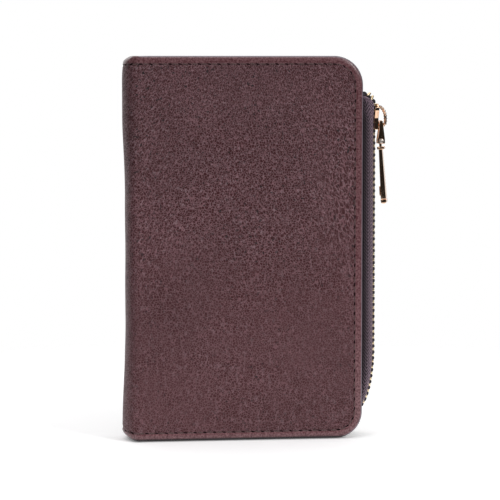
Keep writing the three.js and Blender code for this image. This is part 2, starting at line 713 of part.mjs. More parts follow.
function slider() {
  const leaf = grouped(
    named("pull_leaf", pullLeaf(), MATERIALS.metal),
    named("pull_collar", pullCollar(), MATERIALS.metal),
  );
  leaf.position.z = -PIN_DROP;
  const pin = named("pull_pin", pullPin(), MATERIALS.metal);
  pin.position.z = -PIN_DROP;
  const link = grouped(named("pull_link", pullLink(), MATERIALS.metal), pin, leaf);
  link.position.set(LINK_AXIS.x, 0, LINK_AXIS.z);
  const whole = grouped(
    named("slider_body", sliderBody(), MATERIALS.metal),
    named("slider_bridge", sliderBridge(), MATERIALS.metal),
    link,
  );
  whole.position.set(CHAIN_X, CHAIN_Y, SLIDER_Z);
  return whole;
}

// ---------------------------------------------------------------- the whole wallet

const wallet = grouped(frontLeaf(), spine(), grouped(...rearHalf(), ...zip()), slider());
wallet.updateMatrixWorld(true);
const extent = new THREE.Box3().setFromObject(wallet);
wallet.position.x = -(extent.min.x + extent.max.x) / 2;

export default wallet;
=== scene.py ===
"""Looks for the bifold wallet with a zipped coin pouch. Shapes are worked out in millimetres, in the
row frame, and turned into metres when a mesh is made."""

import math
import random

import bmesh
import bpy
import numpy as np
from mathutils import Matrix, Vector, noise


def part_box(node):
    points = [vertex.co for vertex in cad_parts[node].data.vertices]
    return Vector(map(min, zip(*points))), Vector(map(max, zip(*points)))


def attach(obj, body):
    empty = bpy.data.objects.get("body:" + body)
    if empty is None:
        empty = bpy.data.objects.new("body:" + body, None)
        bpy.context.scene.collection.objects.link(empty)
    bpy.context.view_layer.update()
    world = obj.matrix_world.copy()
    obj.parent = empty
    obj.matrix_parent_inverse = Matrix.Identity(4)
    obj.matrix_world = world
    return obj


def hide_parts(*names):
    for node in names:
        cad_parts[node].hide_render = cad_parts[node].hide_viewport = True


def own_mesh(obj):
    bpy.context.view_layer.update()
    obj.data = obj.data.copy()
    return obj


# ---------------- the frame and its sizes

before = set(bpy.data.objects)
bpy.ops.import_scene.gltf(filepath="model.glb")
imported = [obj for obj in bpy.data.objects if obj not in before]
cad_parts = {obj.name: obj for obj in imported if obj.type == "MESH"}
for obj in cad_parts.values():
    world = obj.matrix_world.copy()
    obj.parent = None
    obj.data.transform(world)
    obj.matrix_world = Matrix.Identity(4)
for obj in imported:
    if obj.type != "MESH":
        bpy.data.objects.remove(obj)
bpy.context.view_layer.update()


def box_mm(node):
    low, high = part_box(node)
    return low * 1000, high * 1000


COVER_LOW, COVER_HIGH = box_mm("front_cover_leather")
SPINE_LOW, SPINE_HIGH = box_mm("spine_leather")
SLIDER_LOW, SLIDER_HIGH = box_mm("slider_body")
PIN_LOW, PIN_HIGH = box_mm("pull_pin")
FOLD_X = COVER_LOW.x - 0.15  # both fold lines lie at this x
FREE_X = COVER_HIGH.x  # the free edge of the covers
TOP_Z = COVER_HIGH.z
HALF = SPINE_HIGH.y  # half of the closed thickness
BULGE = FOLD_X - SPINE_LOW.x
CHAIN = (SLIDER_LOW + SLIDER_HIGH) / 2  # the middle of the chain at the slider's centre
PIN = (PIN_LOW + PIN_HIGH) / 2
LINK_BAR = CHAIN + Vector((3.65, 0, -2.2))  # where the link hangs in the crown

LOW_RADIUS = 10.9  # of the covers' lower free corner
HIGH_RADIUS = 12.0  # of the upper one
HIDE = 1.2  # thickness of the outer leather
BORDER = 2.1  # width of the rolled border
BORDER_DROP = 0.5  # how far its outer edge has sunk
SEAM = 3.3  # from an edge to the middle of its stitch line
STITCH = 3.95  # from one stitch to the next
HOLE = (2.1, 0.95, 0.12)  # length, width and height of a stitch hole
THREAD = (2.55, 0.55, 0.42, 0.12)  # the same of a stitch, and how far its ends bow down
HOLE_OUT, THREAD_OUT = 0.02, 0.05  # how far they stand out of the hide
EDGE_STEPS = (  # insets at which a panel has points
    0, 0.05, 0.15, 0.32, 0.55, 0.8, 1.1, 1.5, 1.9, 2.3, 2.65, 2.95, 3.3, 3.65, 3.95, 4.4, 5.2, 6.5, 8.5,
)

random.seed(11)

# ---------------- mesh helpers


def piece(name, verts, faces, material, sharp=40):
    """A smooth-shaded object from vertices in millimetres. Edges that turn more than sharp stay crisp."""
    mesh = bpy.data.meshes.new(name)
    mesh.from_pydata((np.asarray(verts, float) / 1000).tolist(), [], [list(map(int, f)) for f in faces])
    mesh.validate()
    mesh.polygons.foreach_set("use_smooth", [True] * len(mesh.polygons))
    mesh.set_sharp_from_angle(angle=math.radians(sharp))
    mesh.materials.append(material)
    obj = bpy.data.objects.new(name, mesh)
    bpy.context.scene.collection.objects.link(obj)
    return obj


def settle(obj, body, node=None):
    """Puts a piece on its body and hides the CAD node it stands for."""
    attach(obj, body)
    if node:
        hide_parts(node)


def attribute(obj, name, values):
    """Stores one number per vertex for a material to read."""
    layer = obj.data.attributes.new(name, "FLOAT", "POINT")
    layer.data.foreach_set("value", np.asarray(values, np.float32))


def joined(parts):
    """Several (verts, faces) as one."""
    verts, faces, start = [], [], 0
    for part_verts, part_faces in parts:
        verts.extend(part_verts)
        faces.extend([start + i for i in face] for face in part_faces)
        start += len(part_verts)
    return verts, faces


def moved(part, matrix):
    return [matrix @ Vector(v) for v in part[0]], part[1]


def rounded(bm, bevel, segments=3):
    """The bmesh with every edge that turns more than 25 degrees rounded."""
    bmesh.ops.recalc_face_normals(bm, faces=bm.faces)
    limit = math.radians(25)
    edges = [e for e in bm.edges if e.calc_face_angle(0) > limit]
    bmesh.ops.bevel(
        bm, geom=edges, offset=bevel, segments=segments, profile=0.5, affect="EDGES", clamp_overlap=True
    )
    bm.verts.index_update()
    part = [v.co.copy() for v in bm.verts], [[v.index for v in f.verts] for f in bm.faces]
    bm.free()
    return part


def prism(shape, low, high, bevel, axis="x", segments=3):
    """A rounded prism. The shape is (y, z) when it is filled along x, and (x, z) when along y."""
    bm = bmesh.new()
    place = (lambda p, t: (t, p[0], p[1])) if axis == "x" else (lambda p, t: (p[0], t, p[1]))
    ends = [[bm.verts.new(place(p, t)) for p in shape] for t in (low, high)]
    bm.faces.new(ends[0])
    bm.faces.new(ends[1])
    for i in range(len(shape)):
        j = (i + 1) % len(shape)
        bm.faces.new((ends[0][i], ends[0][j], ends[1][j], ends[1][i]))
    return rounded(bm, bevel, segments)


def disc(radius, low, high, bevel):
    """A rounded cylinder along y, centred on the other two axes."""
    sides = 28
    shape = [
        (radius * math.cos(2 * math.pi * i / sides), radius * math.sin(2 * math.pi * i / sides))
        for i in range(sides)
    ]
    return prism(shape, low, high, bevel, "y", 2)


def ring_faces(rings, sides):
    """Faces between rings of vertices, and a cap at each end."""
    faces = []
    for i in range(rings - 1):
        for k in range(sides):
            n = (k + 1) % sides
            faces.append([i * sides + k, i * sides + n, (i + 1) * sides + n, (i + 1) * sides + k])
    faces.append(list(range(sides))[::-1])
    faces.append([(rings - 1) * sides + k for k in range(sides)])
    return faces


def tube(points, radii, sides, flat):
    """A closed tube along points that lie in one plane y = constant. flat scales it along y."""
    points = [Vector(p) for p in points]
    verts = []
    for i, point in enumerate(points):
        along = (points[min(i + 1, len(points) - 1)] - points[max(i - 1, 0)]).normalized()
        across = Vector((0, 1, 0))
        out = across.cross(along).normalized()
        for k in range(sides):
            turn = 2 * math.pi * k / sides
            verts.append(point + radii[i] * (out * math.cos(turn) + across * math.sin(turn) * flat))
    return verts, ring_faces(len(points), sides)


def two_faced(outer, inner):
    """Closes two grids of points, [row][column], into one sheet with four side walls."""
    rows, columns = outer.shape[:2]
    verts = np.concatenate([outer.reshape(-1, 3), inner.reshape(-1, 3)])
    half = rows * columns
    faces = []
    for i in range(rows - 1):
        for j in range(columns - 1):
            a, b = i * columns + j, (i + 1) * columns + j
            faces.append([a, a + 1, b + 1, b])
            faces.append([half + a, half + b, half + b + 1, half + a + 1])
    rim = [(0, j) for j in range(columns)] + [(i, columns - 1) for i in range(1, rows)]
    rim += [(rows - 1, j) for j in range(columns - 2, -1, -1)] + [(i, 0) for i in range(rows - 2, 0, -1)]
    rim = [i * columns + j for i, j in rim]
    for a, b in zip(rim, rim[1:] + rim[:1]):
        faces.append([a, half + a, half + b, b])
    return verts, faces


def smooth(low, high, value):
    t = np.clip((value - low) / (high - low), 0, 1)
    return t * t * (3 - 2 * t)


def spaced(low, high, step):
    """Positions from low to high, close together near both ends."""
    ends = np.array(EDGE_STEPS)
    first, last = low + ends[-1], high - ends[-1]
    count = max(2, int(round((last - first) / step)))
    middle = np.linspace(first, last, count + 1)[1:-1]
    return np.concatenate([low + ends, middle, (high - ends)[::-1]])


def round_edge(inset, radius):
    """How far a face has dropped at this inset from a rounded edge."""
    rest = np.clip(radius - inset, 0, radius)
    return radius - np.sqrt(np.clip(radius**2 - rest**2, 0, None))


def upright(x, z):
    """Points (x, 0, z)."""
    return np.stack([x, 0 * x, z], axis=-1)


def waves(points, size, height, seed):
    """Slow, even unevenness over points."""
    flat = np.asarray(points, float).reshape(-1, 3)
    shift = Vector((seed * 13.7, seed * 5.1, seed * 9.3))
    values = [noise.noise(Vector(p) / size + shift) for p in flat]
    return height * np.array(values).reshape(np.shape(points)[:-1])


# ---------------- sewn panels


class Outline:
    """A panel's outline in (x, z): square on the left and rounded on the right."""

    def __init__(self, left, right, low, high, low_radius, high_radius):
        self.left, self.right, self.low, self.high = left, right, low, high
        self.low_radius, self.high_radius = low_radius, high_radius

    def right_at(self, z):
        """The right edge's x at each height."""
        r = np.where(z < self.low + self.low_radius, self.low_radius, self.high_radius)
        reach = np.maximum(self.low + self.low_radius - z, z - self.high + self.high_radius)
        reach = np.clip(reach, 0, r)
        return self.right - r + np.sqrt(np.clip(r**2 - reach**2, 0, None))

    def inset(self, x, z):
        """Distance in from the lower, right and upper edges."""
        inset = np.minimum(np.minimum(z - self.low, self.high - z), self.right - x)
        for radius, centre, sign in (
            (self.low_radius, self.low + self.low_radius, -1),
            (self.high_radius, self.high - self.high_radius, 1),
        ):
            dx, dz = x - (self.right - radius), sign * (z - centre)
            corner = (dx > 0) & (dz > 0)
            inset = np.where(corner, radius - np.hypot(dx, dz), inset)
        return np.clip(inset, 0, None)

    def seam(self, inset):
        """Points along a stitch line, from the left end of its lower run to that of its upper run."""
        points = [(self.left, self.low + inset)]
        for radius, z, first in (
            (self.low_radius, self.low + self.low_radius, -90),
            (self.high_radius, self.high - self.high_radius, 0),
        ):
            for k in range(19):
                turn = math.radians(first + 5 * k)
                r = radius - inset
                points.append((self.right - radius + r * math.cos(turn), z + r * math.sin(turn)))
        points.append((self.left, self.high - inset))
        return points


def panel(name, outline, face, side, thickness, material, lift, edge=0.9, step=1.6):
    """A flat panel whose outer face is at y = face and looks towards side * Y. lift(x, z, inset) says how
    far its outer face stands out, and edge is the radius of its outer edge."""
    z = spaced(outline.low, outline.high, step)
    count = int((outline.right - outline.left - EDGE_STEPS[-1]) / step)
    share = np.linspace(0, 1, count + 1)[:-1]
    insets = np.array(EDGE_STEPS)[::-1]
    right = outline.right_at(z)[:, None]
    middle = outline.left + (right - EDGE_STEPS[-1] - outline.left) * share[None, :]
    x = np.concatenate([middle, right - insets[None, :]], axis=1)
    z = np.repeat(z[:, None], x.shape[1], axis=1)
    inset = outline.inset(x, z)
    out = lift(x, z, inset) - round_edge(inset, edge)
    outer = np.stack([x, face + side * out, z], axis=-1)
    back = face - side * (thickness - round_edge(inset, min(edge, thickness) * 0.4))
    inner = np.stack([x, back + 0 * x, z], axis=-1)
    if side > 0:
        outer, inner = outer[:, ::-1], inner[:, ::-1]
        inset = inset[:, ::-1]
    verts, faces = two_faced(outer, inner)
    obj = piece(name, verts, faces, material, 60)
    attribute(obj, "inset", np.concatenate([inset.ravel(), inset.ravel()]) / 10)
    if material is MATERIAL["hide"]:
        grain_field(obj, outer[..., [0, 2]], side)
    return obj


def surface_of(outline, face, side, lift):
    """A function that gives the y of a panel's outer face at (x, z)."""

    def surface(x, z):
        xs, zs = np.array([x]), np.array([z])
        return float(face + side * lift(xs, zs, outline.inset(xs, zs))[0])

    return surface


def groove(inset, at=SEAM, depth=0.22):
    """How far a stitch line sinks into the sheet."""
    return -depth * np.exp(-(((inset - at) / 0.55) ** 2))


def turned_edge(inset):
    """The rolled border between an edge and its stitch line."""
    return -BORDER_DROP * np.clip(1 - inset / BORDER, 0, 1) ** 1.6


def sewn_lift(crown, seed):
    """The shape of a padded cover: a rounded border, a sunk stitch line, and a soft crown inside it. The
    border is flat at the fold, so that the covers and the spine still meet there when they open."""

    def lift(x, z, inset):
        points = upright(x, z)
        border = turned_edge(inset) * smooth(0, 4, x - FOLD_X)
        pad = crown * smooth(SEAM - 0.2, 22, inset) * smooth(0, 20, x - FOLD_X)
        uneven = waves(points, 26, 0.22, seed) + waves(points, 9, 0.05, seed + 3)
        return border + groove(inset) + pad + uneven * smooth(2, 9, inset) * smooth(0, 6, x - FOLD_X)

    return lift


def layer_lift(height, seed, crease=None):
    """The shape of a thin inner layer: nearly flat, a sunk stitch line, and a crease under its open edge."""

    def lift(x, z, inset):
        points = upright(x, z)
        out = waves(points, 30, height, seed) * smooth(1, 8, inset) + groove(inset, SEAM - 0.9, 0.12)
        if crease is not None:
            out = out - 0.1 * np.exp(-(((crease - 1.4 - z) / 0.25) ** 2))
        return out

    return lift


# ---------------- stitches


def along_line(points, pitch):
    """Places twice to a pitch along a line of (x, z) points: (point, direction, number)."""
    pts = [Vector(p) for p in points]
    lengths = [(b - a).length for a, b in zip(pts, pts[1:])]
    total = sum(lengths)
    count = int(total / pitch)
    pitch = total / count
    places, segment, passed = [], 0, 0.0
    for k in range(2 * count):
        distance = (k + 0.5) * pitch / 2
        while distance > passed + lengths[segment] and segment < len(lengths) - 1:
            passed += lengths[segment]
            segment += 1
        direction = (pts[segment + 1] - pts[segment]).normalized()
        places.append((pts[segment] + direction * (distance - passed), direction, k))
    return places


def bead(length, width, height, bow=0.0):
    """A rounded bead lying along local x, its top towards local z."""
    rings, sides = 7, 8
    verts = []
    for i in range(rings):
        t = -1 + 2 * i / (rings - 1)
        swell = max(0.12, math.sqrt(1 - 0.92 * t * t))
        for k in range(sides):
            turn = 2 * math.pi * k / sides
            y, z = math.cos(turn) * width / 2 * swell, math.sin(turn) * height / 2 * swell
            verts.append(Vector((t * length / 2, y, z - bow * t * t)))
    return verts, ring_faces(rings, sides)


def grain_field(obj, points, side):
    """Tells the hide how strong its grain is, and lays out a fan of lines that it is drawn along near its
    top. Points are (x, z)."""
    x, z = points[..., 0], points[..., 1]
    across = (x - FOLD_X) / (FREE_X - FOLD_X)
    high = z / TOP_Z
    rough = 0.66 + 0.72 * smooth(0.25, 0.8, high) + waves(upright(x, z), 40, 0.22, 31 + side)
    near_top = smooth(46, 3, TOP_Z - z) * (0.75 + 0.25 * smooth(0.4, 0.9, across))
    near_free = smooth(34, 3, FREE_X - x) * smooth(0.3, 0.6, high) * 0.8
    near_fold = smooth(0.3, 0.0, across) * smooth(0.25, 0.6, high) * 0.5
    pull = np.maximum(np.maximum(near_top, near_free), near_fold)
    pull = np.clip(pull + waves(upright(x, z), 16, 0.3, 35 + side), 0, 1)
    far = 88.0  # how far from the fan's centre its lines keep their true width
    dx, dz = x - (FOLD_X + FREE_X) / 2 - 8, TOP_Z + 46 - z
    away = np.hypot(dx, dz)
    flow = np.stack([np.arctan2(dx, dz) * far, 0 * dx, np.log(away / far) * far * 0.45], axis=-1) / 1000
    attribute(obj, "grain", np.tile(np.clip(rough, 0.3, 1.5).ravel(), 2))
    attribute(obj, "pull", np.tile(pull.ravel(), 2))
    layer = obj.data.attributes.new("flow", "FLOAT_VECTOR", "POINT")
    layer.data.foreach_set("vector", np.tile(flow.reshape(-1, 3), (2, 1)).astype(np.float32).ravel())


def add_stitch(parts, k, place, point, out):
    """Adds number k to (threads, holes), which take turns, at a point of the hide that faces out."""
    place = place.to_4x4()
    place.translation = point + out * (HOLE_OUT if k % 2 else THREAD_OUT)
    parts[k % 2].append(moved(bead(*(HOLE if k % 2 else THREAD)), place))


def stitch_pieces(name, parts, body):
    """The pieces made of all threads and all holes."""
    thread = piece(name, *joined(parts[0]), MATERIAL["thread"])
    hole = piece(name + "_holes", *joined(parts[1]), MATERIAL["hole"])
    for obj in (thread, hole):
        settle(obj, body)
    return thread, hole


def stitch_row(name, line, surface, body, side):
    """Stitches and the holes between them along a line of (x, z). surface(x, z) gives the y they lie on."""
    parts = [], []
    for point, direction, k in along_line(line, STITCH):
        tilt = math.radians(-30 if k % 2 else -7) * (-side)
        along = Vector((direction.x, 0, direction.y))
        out = Vector((0, side, 0))
        across = out.cross(along)
        turn = Matrix.Rotation(tilt + math.radians(random.uniform(-3, 3)), 3, "Z")
        place = Matrix((along, across, out)).transposed() @ turn
        add_stitch(parts, k, place, Vector((point.x, surface(point.x, point.y), point.y)), out)
    return stitch_pieces(name, parts, body)[0]


# ---------------- materials


class Nodes:
    """Short way to build the node tree of a new material or world."""

    def __init__(self, name, kind=bpy.data.materials):
        self.owner = kind.new(name)
        self.owner.use_nodes = True
        self.tree = self.owner.node_tree

    def feed(self, socket, value):
        """Gives an input another node's output, or a constant."""
        if isinstance(value, bpy.types.NodeSocket):
            self.tree.links.new(value, socket)
        else:
            socket.default_value = value

    def add(self, kind, inputs=None, output=0, **settings):
        node = self.tree.nodes.new(kind)
        for key, value in settings.items():
            setattr(node, key, value)
        for key, value in (inputs or {}).items():
            self.feed(node.inputs[key], value)
        return node.outputs[output]

    def math(self, operation, a, b=0.0, c=0.0, clamp=False):
        return self.add("ShaderNodeMath", {0: a, 1: b, 2: c}, operation=operation, use_clamp=clamp)

    def between(self, value, low, high, to_low=0.0, to_high=1.0):
        inputs = {"Value": value, "From Min": low, "From Max": high, "To Min": to_low, "To Max": to_high}
        return self.add("ShaderNodeMapRange", inputs, interpolation_type="SMOOTHSTEP")

    def mix(self, factor, a, b):
        return self.add("ShaderNodeMix", {0: factor, 6: a, 7: b}, 2, data_type="RGBA")

    def blend(self, factor, a, b):
        """A number between a and b."""
        return self.add("ShaderNodeMix", {0: factor, 2: a, 3: b})

    def axes(self, place):
        """The x, y and z of a place, as three outputs."""
        return self.add("ShaderNodeSeparateXYZ", {0: place}).node.outputs

    def noise(self, place, scale, detail=2.0, roughness=0.5):
        inputs = {"Vector": place, "Scale": scale, "Detail": detail, "Roughness": roughness}
        return self.add("ShaderNodeTexNoise", inputs)

    def place(self, stretch=(1, 1, 1)):
        """Object coordinates, in metres."""
        where = self.add("ShaderNodeTexCoord", output=3)
        return self.add("ShaderNodeMapping", {"Vector": where, "Scale": stretch})

    def read(self, name):
        return self.add("ShaderNodeAttribute", output=2, attribute_name=name)

    def bump(self, height, distance, strength=1.0):
        inputs = {"Height": height, "Distance": distance, "Strength": strength}
        return self.add("ShaderNodeBump", inputs)

    def finish(self, shader="Principled BSDF", **inputs):
        for key, value in inputs.items():
            self.feed(self.tree.nodes[shader].inputs[key.replace("_", " ")], value)
        return self.owner


def srgb(r, g, b):
    """A colour given as 0 to 255 screen values."""
    return tuple(((c / 255 + 0.055) / 1.055) ** 2.4 if c > 10 else c / 3295 for c in (r, g, b)) + (1.0,)


# Dark red of the grain's hollows: partly the hide's own tone, partly painted shade.
SHADED_HOLLOW_RED = srgb(60, 8, 14)


def grain(n, place, cells, wide, warp=0.0005):
    """Soft ridges round small hollows: how high a point is, from 0 in a hollow to 1 on a ridge, and a random
    number for each hollow."""
    shift = n.add("ShaderNodeTexNoise", {"Vector": place, "Scale": cells * 0.8, "Detail": 1.0}, 1)
    shift = n.add("ShaderNodeVectorMath", {0: shift, 1: (0.5, 0.5, 0.5)}, operation="SUBTRACT")
    shift = n.add("ShaderNodeVectorMath", {0: shift, "Scale": warp}, operation="SCALE")
    place = n.add("ShaderNodeVectorMath", {0: place, 1: shift}, operation="ADD")
    inputs = {"Vector": place, "Scale": float(cells), "Randomness": 1.0}
    edge = n.add("ShaderNodeTexVoronoi", inputs, feature="DISTANCE_TO_EDGE")
    cell = n.add("ShaderNodeTexVoronoi", inputs, 1, feature="F1")
    return n.between(edge, 0.0, wide, 1.0, 0.0), n.add("ShaderNodeSeparateColor", {0: cell})


def cover_hide(name):
    """Milled grain: soft ridges round small reddish hollows, drawn out into a fan of creases where the
    seam pulls them, with a smooth turned border. The ridges are painted pale, partly as painted highlight,
    and the hollows dark red, partly as painted shade. The mesh says how far in a point is, how strong the
    grain is there, how much it is pulled and along which lines."""
    n = Nodes(name)
    base = n.place()
    flow = n.add("ShaderNodeAttribute", output=1, attribute_name="flow")
    even, shade = grain(n, base, 1020, 0.17, 0.0008)
    drawn, drawn_shade = grain(n, flow, 1080, 0.17, 0.0007)
    pulled = n.math("MULTIPLY", n.read("pull"), 0.85)
    ridge = n.blend(pulled, even, drawn)
    tone = n.blend(pulled, shade, drawn_shade)
    fine = n.noise(base, 2400.0, 2.0, 0.6)
    patch = n.noise(base, 120.0, 2.0)
    broad = n.noise(base, 26.0, 2.0)
    inner = n.between(n.read("inset"), 0.27, 0.36)
    depth = n.math("MULTIPLY", n.read("grain"), n.between(patch, 0.3, 0.7, 0.75, 1.12))
    depth = n.math("MULTIPLY", depth, inner)
    lit = n.math("MULTIPLY", ridge, n.between(tone, 0.1, 0.95, 0.75, 1.15))
    lit = n.math("MULTIPLY", lit, n.between(fine, 0.3, 0.65, 0.45, 1.4))
    contrast = n.math("MULTIPLY_ADD", lit, 1.3, -0.52)
    level = n.math("MULTIPLY_ADD", contrast, depth, 0.4, True)
    # The grain's colour: pale ridges are the hide's tone plus painted highlight, and dark red hollows are its
    # tone plus painted shade.
    colour = n.mix(level, SHADED_HOLLOW_RED, srgb(132, 93, 100))
    # Painted glints: small light grey-pink flecks over the grain, standing for pebble tops catching the
    # lamps.
    painted_glint = n.between(n.noise(flow, 1500.0, 1.5), 0.54, 0.7)
    painted_glint = n.math("MULTIPLY", n.math("MULTIPLY", painted_glint, depth), 0.45, 0, True)
    colour = n.mix(painted_glint, colour, srgb(156, 128, 135))
    # Painted shade: where the grain is weak, on the lower part of the hide, the colour is darkened towards
    # the hollows' red against the light from the floor.
    colour = n.mix(n.between(n.read("grain"), 0.6, 1.15, 0.3, 0.0), colour, SHADED_HOLLOW_RED)
    pit = n.math("MULTIPLY", n.between(n.noise(base, 780.0, 1.0), 0.66, 0.73), depth)
    colour = n.mix(n.math("MULTIPLY", pit, 0.85, 0, True), colour, srgb(26, 17, 21))
    colour = n.mix(n.between(broad, 0.35, 0.7, 0.0, 0.14), colour, srgb(62, 36, 40))
    # The turned border is mottled between two tones and lighter than the grain: partly the smoother leather's
    # own tone, partly painted highlight for the light its roll catches.
    streak = n.noise(base, 1200.0, 4.0, 0.75)
    border = n.mix(n.between(streak, 0.38, 0.64), srgb(86, 50, 54), srgb(130, 94, 98))
    colour = n.mix(n.math("SUBTRACT", 1.0, inner), colour, border)
    # A light grey-lilac rim along the outer edge: partly the leather's edge paint, partly a painted
    # reflection of the white backdrop on the rounded edge.
    painted = n.between(n.read("inset"), 0.06, 0.025, 0.0, 0.8)
    colour = n.mix(painted, colour, srgb(150, 142, 152))
    # Painted contact shadow: the hide goes nearly black-brown in its lowest 1.4 mm, where it stands on the
    # floor.
    colour = n.mix(n.between(n.axes(base)[2], 0.0014, 0.0005), colour, srgb(30, 16, 20))
    height = n.math("MULTIPLY", n.math("MULTIPLY_ADD", pit, -0.6, ridge), depth)
    height = n.math("ADD", height, n.math("MULTIPLY", fine, 0.22))
    normal = n.bump(height, 0.0002, 0.9)
    rough = n.between(level, 0.1, 0.8, 0.58, 0.36)
    rough = n.blend(inner, 0.26, rough)
    return n.finish(Base_Color=colour, Roughness=rough, Normal=normal, Specular_IOR_Level=0.42)


def plain_hide(name, light, dark):
    """Smooth inner leather with a faint fine grain."""
    n = Nodes(name)
    base = n.place()
    ridge, chance = grain(n, base, 1300, 0.25, 0.0003)
    fine = n.noise(base, 2600.0, 2.0, 0.6)
    broad = n.noise(base, 45.0, 2.0)
    level = n.math("MULTIPLY", ridge, n.between(fine, 0.3, 0.7, 0.3, 0.9))
    colour = n.mix(level, dark, light)
    colour = n.mix(n.math("MULTIPLY", n.between(chance, 0.85, 0.95), 0.35), colour, srgb(34, 22, 25))
    colour = n.mix(n.between(broad, 0.3, 0.7, 0.0, 0.2), colour, srgb(52, 32, 36))
    painted = n.between(n.read("inset"), 0.05, 0.02)
    colour = n.mix(painted, colour, srgb(74, 60, 66))
    normal = n.bump(level, 0.00008, 0.6)
    rough = n.between(level, 0.0, 0.8, 0.6, 0.46)
    return n.finish(Base_Color=colour, Roughness=rough, Normal=normal)


def twill(name, light, dark, pitch):
    """A plain lining cloth with fine diagonal ribs."""
    n = Nodes(name)
    x, y, z = n.axes(n.place())
    across = n.math("ADD", x, y)
    ribs = n.math("SINE", n.math("MULTIPLY", n.math("ADD", across, z), 2 * math.pi / pitch))
    weft = n.math("SINE", n.math("MULTIPLY", n.math("SUBTRACT", across, z), 4 * math.pi / pitch))
    height = n.math("ADD", n.math("MULTIPLY", ribs, 0.5), n.math("MULTIPLY", weft, 0.25))
    slub = n.noise(n.place((1, 1, 6)), 500.0, 2.0)
    slub = n.math("MULTIPLY", n.math("SUBTRACT", slub, 0.5), 0.6)
    factor = n.math("ADD", n.between(height, -0.7, 0.7), slub, 0, True)
    colour = n.mix(factor, dark, light)
    normal = n.bump(height, 0.00008, 0.7)
    return n.finish(Base_Color=colour, Roughness=0.85, Normal=normal, Sheen_Weight=0.4, Sheen_Roughness=0.5)


def herringbone(name, light, dark):
    """Zip tape: chevrons across its width, with thick yarns. The mesh says how far across a point is."""
    n = Nodes(name)
    across = n.read("across")
    zigzag = n.math("PINGPONG", n.math("ADD", across, 0.4), 1.7)
    height_mm = n.math("MULTIPLY", n.axes(n.place())[2], 1000.0)
    along = n.math("ADD", height_mm, n.math("MULTIPLY", zigzag, 1.4))
    yarn = n.math("SINE", n.math("MULTIPLY", along, 2 * math.pi / 1.45))
    warp = n.math("SINE", n.math("MULTIPLY", across, 2 * math.pi / 0.85))
    fuzz = n.noise(n.place(), 2200.0, 2.0)
    height = n.math("ADD", n.math("MULTIPLY", yarn, 0.6), n.math("MULTIPLY", warp, 0.3))
    factor = n.math("ADD", n.between(height, -0.75, 0.75), n.math("SUBTRACT", fuzz, 0.5), 0, True)
    colour = n.mix(factor, dark, light)
    # Painted shade: the tape darkens from 1.8 mm across towards its seam, where the cover's edge shades it.
    colour = n.mix(n.between(across, 1.8, 7.0, 0.0, 0.88), colour, dark)
    normal = n.bump(height, 0.0002, 0.9)
    return n.finish(Base_Color=colour, Roughness=0.8, Normal=normal, Sheen_Weight=0.1, Sheen_Roughness=0.4)


def polished(name, colour, rough, patch_tint, share=0.35, patches=260.0):
    """Plated metal with fine handling marks and a little darkening in patches."""
    n = Nodes(name)
    marks = n.noise(n.place((1, 1, 0.12)), 2200.0, 3.0, 0.6)
    cloud = n.noise(n.place(), patches, 2.0)
    tint = n.mix(n.between(cloud, 0.35, 0.7, 0.0, share), colour, patch_tint)
    roughness = n.between(marks, 0.3, 0.75, rough * 0.7, rough * 1.6)
    normal = n.bump(marks, 0.00002, 0.25)
    return n.finish(Base_Color=tint, Metallic=1.0, Roughness=roughness, Normal=normal)


def waxed_thread(name, light, dark):
    """Thread laid from two plies."""
    n = Nodes(name)
    x, y, z = n.axes(n.place())
    run = n.math("ADD", n.math("ADD", x, z), n.math("MULTIPLY", y, 2.0))
    ply = n.math("SINE", n.math("MULTIPLY", run, 2 * math.pi / 0.00055))
    fuzz = n.noise(n.place(), 3000.0, 2.0)
    factor = n.math("ADD", n.between(ply, -0.8, 0.9), n.math("SUBTRACT", fuzz, 0.5), 0, True)
    normal = n.bump(ply, 0.00006, 0.7)
    return n.finish(Base_Color=n.mix(factor, dark, light), Roughness=0.6, Normal=normal, Sheen_Weight=0.2)


def cardboard(name):
    n = Nodes(name)
    fibre = n.noise(n.place((1, 1, 5)), 700.0, 4.0, 0.7)
    speck = n.noise(n.place(), 2400.0, 1.0)
    colour = n.mix(n.between(fibre, 0.3, 0.7), srgb(150, 134, 112), srgb(176, 160, 136))
    colour = n.mix(n.between(speck, 0.68, 0.75, 0.0, 0.5), colour, srgb(96, 80, 62))
    return n.finish(Base_Color=colour, Roughness=0.9, Normal=n.bump(fibre, 0.00006, 0.6))


# Painted shade: the stitch holes are near-black beads on the hide that stand for the shade inside each hole.
def painted_hole_shade(name):
    n = Nodes(name)
    fibre = n.noise(n.place(), 2400.0, 2.0)
    colour = n.mix(fibre, srgb(16, 9, 10), srgb(34, 21, 22))
    return n.finish(Base_Color=colour, Roughness=0.95, Normal=n.bump(fibre, 0.00005), Specular_IOR_Level=0.1)


def soft_floor(name):
    """A white table top that fades into the white background."""
    n = Nodes(name)
    mottle = n.noise(n.place(), 30.0, 2.0)
    colour = n.mix(mottle, (0.93, 0.93, 0.935, 1), (0.95, 0.95, 0.955, 1))
    apart = n.add("ShaderNodeVectorMath", {0: n.place()}, 1, operation="LENGTH")
    away = n.between(apart, 0.16, 0.34, 1.0, 0.0)
    return n.finish(
        Base_Color=colour, Roughness=0.8, Specular_IOR_Level=0.1, Alpha=away,
        Emission_Color=(1, 1, 1, 1), Emission_Strength=0.2,
    )


